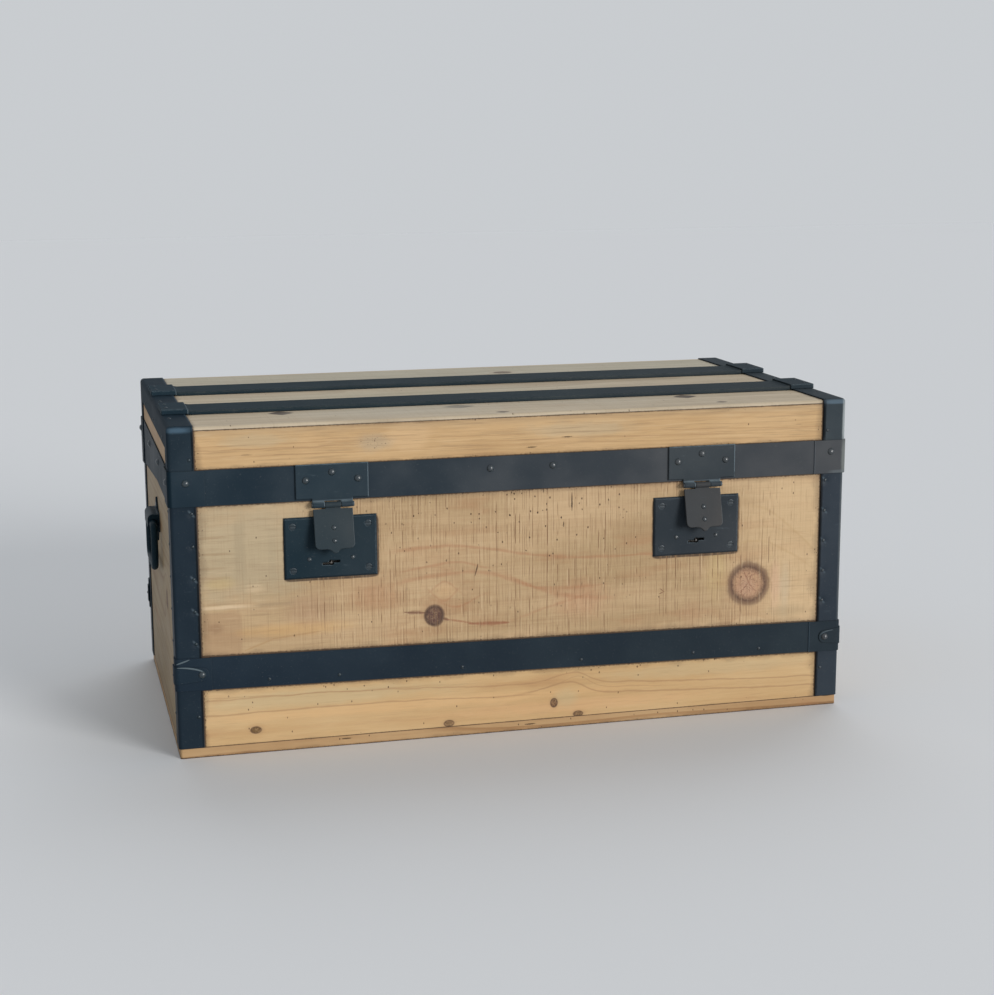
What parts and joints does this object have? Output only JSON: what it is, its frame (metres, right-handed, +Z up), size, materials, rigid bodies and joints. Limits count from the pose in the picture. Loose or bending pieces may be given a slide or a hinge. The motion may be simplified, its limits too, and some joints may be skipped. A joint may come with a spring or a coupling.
{
  "type": "travel trunk",
  "caption": "Small iron-bound wooden travel trunk with a hinged lid, wooden lid slats, hasp locks in front and drop handles on the ends.",
  "frame": {"origin": "centre of the underside of the base board", "axes": "+X to the trunk's right seen from the front, +Y from front to back, +Z up"},
  "size_m": [0.702, 0.3865, 0.328],
  "materials": {
    "body_wood": "sanded, waxed softwood, stained with age",
    "lid_wood": "sanded, waxed softwood",
    "top_wood": "sanded softwood, greyed",
    "painted_slat": "blue-black paint, worn",
    "painted_iron": "blue-black paint, satin, worn at edges",
    "lock_metal": "blue-black paint, satin",
    "bare_iron": "bare dark iron",
    "handle_metal": "blue-black paint, worn",
    "hinge_metal": "blue-black paint",
    "fastener_metal": "blue-black paint, heads rubbed bright"
  },
  "bodies": {
    "body": {"base_board": "body_wood", "front_board_upper": "body_wood", "front_board_lower": "body_wood", "back_board": "body_wood", "end_board_left": "body_wood", "end_board_right": "body_wood", "corner_iron_front_left": "painted_iron", "corner_iron_front_right": "painted_iron", "corner_iron_back_left": "painted_iron", "corner_iron_back_right": "painted_iron", "lower_band_front": "painted_iron", "lower_band_back": "painted_iron", "band_corner_clips": "painted_iron", "lock_plate_left": "lock_metal", "lock_plate_right": "lock_metal", "lock_case_left": "bare_iron", "lock_case_right": "bare_iron", "lock_plate_screws": "fastener_metal", "lock_plate_rivets": "fastener_metal", "handle_plate_left": "handle_metal", "handle_plate_right": "handle_metal", "handle_screws": "handle_metal", "body_hinge_leaf_left": "hinge_metal", "body_hinge_leaf_right": "hinge_metal", "hinge_pins": "bare_iron", "body_hinge_screws": "hinge_metal", "iron_tacks": "fastener_metal", "body_dome_nails": "fastener_metal"},
    "lid": {"lid_front_rail": "lid_wood", "lid_back_rail": "lid_wood", "lid_end_rail_left": "lid_wood", "lid_end_rail_right": "lid_wood", "top_board_front": "top_wood", "top_board_middle": "top_wood", "top_board_rear": "top_wood", "lid_end_iron_left": "painted_iron", "lid_end_iron_right": "painted_iron", "seam_band_front": "painted_iron", "seam_band_left": "painted_iron", "seam_band_right": "painted_iron", "seam_band_back": "painted_iron", "lid_slat_front": "painted_slat", "lid_slat_rear": "painted_slat", "slat_clamps": "painted_iron", "hasp_plate_left": "lock_metal", "hasp_plate_right": "lock_metal", "hasp_pins": "bare_iron", "lid_hinge_leaf_left": "hinge_metal", "lid_hinge_leaf_right": "hinge_metal", "lid_hinge_screws": "hinge_metal", "lid_dome_nails": "fastener_metal", "lid_tacks": "fastener_metal"},
    "hasp_left": {"hasp_flap_left": "lock_metal", "hasp_staple_left": "lock_metal"},
    "hasp_right": {"hasp_flap_right": "lock_metal", "hasp_staple_right": "lock_metal"},
    "lock_bolt_left": {"lock_bolt_left": "bare_iron"},
    "lock_bolt_right": {"lock_bolt_right": "bare_iron"},
    "bail_left": {"bail_left": "handle_metal"},
    "bail_right": {"bail_right": "handle_metal"}
  },
  "joints": [
    {"name": "lid_hinge", "type": "hinge", "parent": "body", "child": "lid", "pos_m": [0, 0.1858, 0.254], "axis": [-1, 0, 0], "range_deg": [0, 105]},
    {"name": "hasp_left_hinge", "type": "hinge", "parent": "lid", "child": "hasp_left", "pos_m": [-0.187, -0.1862, 0.242], "axis": [-1, 0, 0], "range_deg": [-15.5, 150]},
    {"name": "hasp_right_hinge", "type": "hinge", "parent": "lid", "child": "hasp_right", "pos_m": [0.1856, -0.1862, 0.242], "axis": [-1, 0, 0], "range_deg": [-15.5, 150]},
    {"name": "lock_bolt_left_slide", "type": "slide", "parent": "body", "child": "lock_bolt_left", "axis": [-1, 0, 0], "range_m": [0, 0.008]},
    {"name": "lock_bolt_right_slide", "type": "slide", "parent": "body", "child": "lock_bolt_right", "axis": [-1, 0, 0], "range_m": [0, 0.008]},
    {"name": "bail_left_hinge", "type": "hinge", "parent": "body", "child": "bail_left", "pos_m": [-0.346, 0, 0.1995], "axis": [0, 1, 0], "range_deg": [0, 170]},
    {"name": "bail_right_hinge", "type": "hinge", "parent": "body", "child": "bail_right", "pos_m": [0.346, 0, 0.1995], "axis": [0, -1, 0], "range_deg": [0, 170]}
  ]
}
